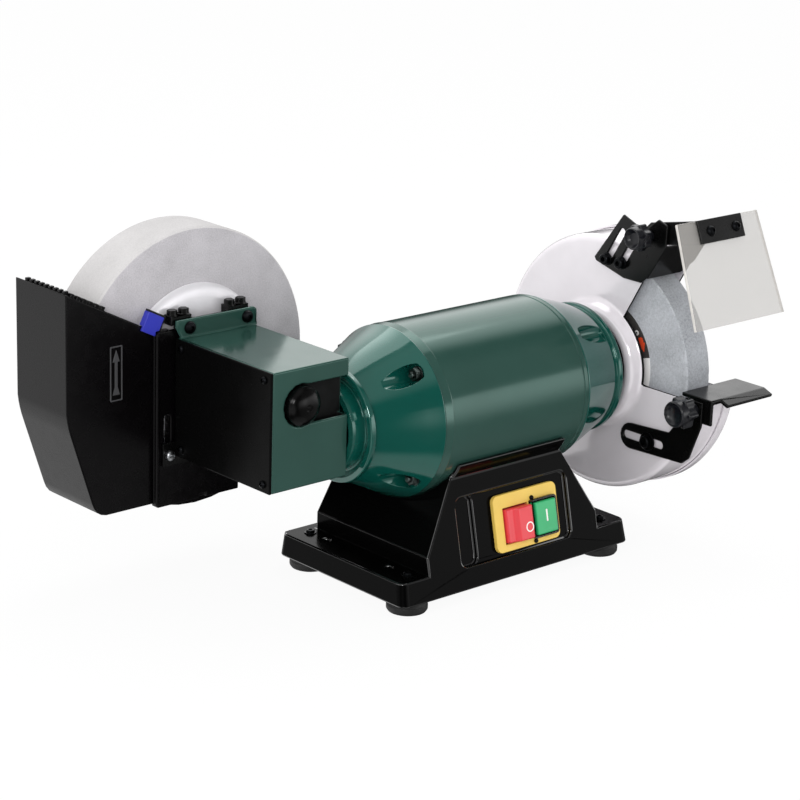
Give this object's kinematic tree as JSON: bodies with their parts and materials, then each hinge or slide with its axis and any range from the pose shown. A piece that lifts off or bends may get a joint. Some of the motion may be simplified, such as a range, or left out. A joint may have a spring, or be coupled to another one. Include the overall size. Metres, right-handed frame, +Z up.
{
  "type": "bench_grinder",
  "caption": "Bench grinder: green motor on a black saddle base, guarded dry wheel on the right, slow wet stone in a black water tank on the left.",
  "frame": {"origin": "middle of the footprint, on the bench that the rubber feet stand on", "axes": "+X along the motor shaft towards the dry wheel, +Y to the back, +Z up"},
  "size_m": [0.501, 0.2746, 0.2609],
  "materials": {
    "black_paint": "gloss",
    "black_plastic": "gloss",
    "green_paint": "gloss",
    "silver_paint": "satin",
    "steel": "satin",
    "cast_black": "satin",
    "rubber": "matte",
    "stone_dry": "matte",
    "stone_wet": "matte",
    "bronze": "satin",
    "copper": "satin",
    "yellow": "satin",
    "red": "satin",
    "green_button": "satin",
    "blue": "satin",
    "clear": "gloss",
    "pale_plastic": "matte"
  },
  "bodies": {
    "base": {"base_casting": "cast_black", "bottom_plate": "steel", "foot_1": "rubber", "foot_2": "rubber", "foot_3": "rubber", "foot_4": "rubber", "cable_gland": "rubber", "run_capacitor": "pale_plastic", "switch_plate": "yellow", "switch_body": "black_plastic", "motor_housing": "green_paint", "left_bell": "green_paint", "right_bell": "green_paint", "stator_core": "steel", "left_winding": "copper", "right_winding": "copper", "left_bearing": "steel", "right_bearing": "steel", "tie_bolt_1": "steel", "tie_bolt_2": "steel", "tie_bolt_3": "steel", "tie_bolt_4": "steel", "wheel_guard": "silver_paint", "guard_cover": "silver_paint", "arrestor_screw_1": "black_paint", "arrestor_screw_2": "black_paint", "rest_screw": "black_paint", "gearbox_housing": "green_paint", "gearbox_cover": "black_paint", "shaft_cap": "black_plastic", "front_bush": "bronze", "rear_bush": "bronze", "tank_hanger": "black_paint", "tank_screw": "black_paint", "rest_rail": "black_paint"},
    "rotor": {"rotor_shaft": "steel", "rotor_core": "steel", "worm": "steel", "dry_inner_flange": "steel", "dry_wheel": "stone_dry", "dry_outer_flange": "steel", "dry_wheel_nut": "steel"},
    "wet_spindle": {"wet_shaft": "steel", "worm_gear": "bronze", "dish_flange": "steel", "wet_wheel": "stone_wet", "wet_flange_nut": "steel"},
    "stop": {"stop_button": "red"},
    "start": {"start_button": "green_button"},
    "arrestor": {"spark_arrestor": "black_paint"},
    "shield": {"shield_arm": "black_paint", "eye_shield": "clear", "shield_clamp": "black_paint"},
    "shield_clamp_knob": {"shield_knob": "black_plastic"},
    "rest": {"rest_bracket": "black_paint"},
    "table": {"rest_table": "black_paint"},
    "rest_clamp_knob": {"rest_knob": "black_plastic"},
    "tank": {"water_tank": "black_plastic", "wheel_wiper": "blue"}
  },
  "joints": [
    {"name": "rotor_spin", "type": "hinge", "parent": "base", "child": "rotor", "pos_m": [0.0395, -0.00975, 0.1295], "axis": [1, 0, 0], "continuous": true},
    {"name": "wet_wheel_spin", "type": "hinge", "parent": "base", "child": "wet_spindle", "pos_m": [-0.1359, -0.00975, 0.1598], "axis": [0, 1, 0], "continuous": true},
    {"name": "stop_press", "type": "slide", "parent": "base", "child": "stop", "axis": [0, 0.9749, -0.2225], "range_m": [0, 0.003], "stiffness_N_per_m": 400, "springref_m": -0.002},
    {"name": "start_press", "type": "slide", "parent": "base", "child": "start", "axis": [0, 0.9749, -0.2225], "range_m": [0, 0.003], "stiffness_N_per_m": 400, "springref_m": -0.002},
    {"name": "arrestor_slide", "type": "slide", "parent": "base", "child": "arrestor", "axis": [0, -0.5039, 0.8638], "range_m": [-0.002, 0]},
    {"name": "shield_tilt", "type": "hinge", "parent": "arrestor", "child": "shield", "pos_m": [0.0395, -0.06075, 0.24], "axis": [1, 0, 0], "range_deg": [-35, 0]},
    {"name": "shield_knob_turn", "type": "hinge", "parent": "arrestor", "child": "shield_clamp_knob", "pos_m": [0.0395, -0.06075, 0.24], "axis": [1, 0, 0], "range_deg": [0, 90]},
    {"name": "rest_slide", "type": "slide", "parent": "base", "child": "rest", "axis": [0, 1, 0], "range_m": [-0.02, 0.0015]},
    {"name": "table_tilt", "type": "hinge", "parent": "rest", "child": "table", "pos_m": [0.0395, -0.11475, 0.118], "axis": [1, 0, 0], "range_deg": [-5, 20]},
    {"name": "rest_knob_turn", "type": "hinge", "parent": "rest", "child": "rest_clamp_knob", "pos_m": [0.0395, -0.11475, 0.118], "axis": [1, 0, 0], "range_deg": [0, 120]},
    {"name": "tank_height", "type": "slide", "parent": "base", "child": "tank", "axis": [0, 0, 1], "range_m": [-0.026, 0]}
  ],
  "couplings": [
    {"joint": "wet_wheel_spin", "follows": "rotor_spin", "ratio": 0.05}
  ]
}
